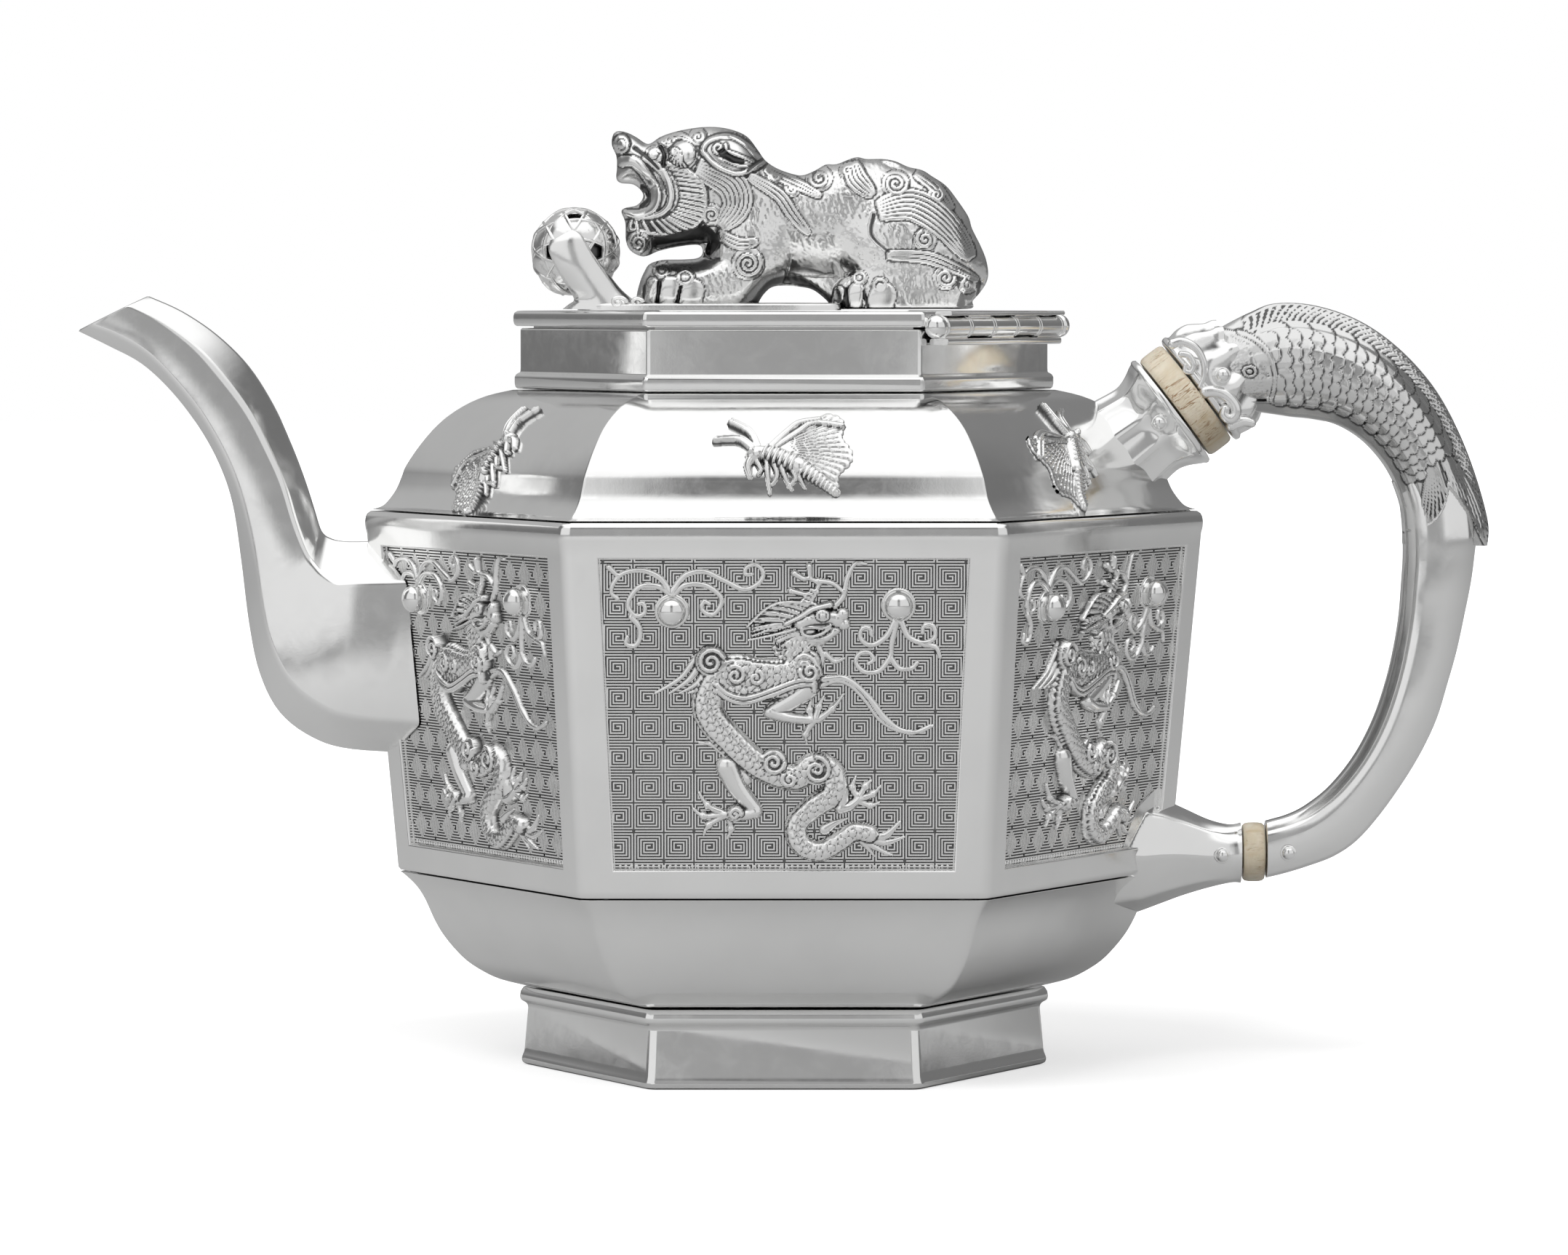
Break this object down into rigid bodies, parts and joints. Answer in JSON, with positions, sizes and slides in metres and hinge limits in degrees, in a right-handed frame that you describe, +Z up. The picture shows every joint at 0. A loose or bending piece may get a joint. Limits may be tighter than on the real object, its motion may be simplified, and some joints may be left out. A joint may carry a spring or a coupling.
{
  "type": "teapot",
  "caption": "Six-sided silver teapot with relief panels, an upswept spout, a hinged lid with a lion finial and a fish handle held off the pot by insulating rings.",
  "frame": {"origin": "middle of the foot ring's underside", "axes": "+X towards the handle, -X towards the spout, +Z up; the pot's flat faces look along -Y and +Y and the hinge is on the +X, -Y side"},
  "size_m": [0.2541, 0.1338, 0.169],
  "materials": {
    "silver": "polished silver with a soft worn lustre",
    "satin_silver": "chased silver, satin ground, darkened in the recesses",
    "ivory": "old ivory, cream with fine brown age cracks"
  },
  "bodies": {
    "pot": {"arm_rivet": "silver", "bowl": "silver", "collar_rivet": "silver", "fish_grip": "satin_silver", "foot_ring": "silver", "handle_arm": "silver", "handle_collar": "silver", "hinge_pin": "silver", "lower_insulator": "ivory", "lower_socket": "silver", "lower_socket_rivet": "silver", "moth_1": "satin_silver", "moth_2": "satin_silver", "moth_3": "satin_silver", "moth_4": "satin_silver", "moth_5": "satin_silver", "moth_6": "satin_silver", "neck_collar": "silver", "neck_hinge_leaf": "silver", "panel_1": "satin_silver", "panel_2": "satin_silver", "panel_3": "satin_silver", "panel_4": "satin_silver", "panel_5": "satin_silver", "panel_6": "satin_silver", "panel_band": "silver", "pearl_1_a": "silver", "pearl_1_b": "silver", "pearl_2_a": "silver", "pearl_2_b": "silver", "pearl_3_a": "silver", "pearl_3_b": "silver", "pearl_4_a": "silver", "pearl_4_b": "silver", "pearl_5_a": "silver", "pearl_5_b": "silver", "pearl_6_a": "silver", "pearl_6_b": "silver", "shoulder": "silver", "spout_back_half": "silver", "spout_front_half": "silver", "spout_strainer": "silver", "upper_insulator": "ivory", "upper_socket": "silver", "upper_socket_rivet": "silver"},
    "lid": {"lid_plate": "silver", "lid_skirt": "silver", "lid_hinge_leaf": "silver", "lion": "satin_silver", "ribbon_strut": "satin_silver", "brocade_ball": "satin_silver"}
  },
  "joints": [
    {"name": "lid_hinge", "type": "hinge", "parent": "pot", "child": "lid", "pos_m": [0.03784, -0.02185, 0.1332], "axis": [0.5, 0.866, 0], "range_deg": [0, 95]}
  ]
}
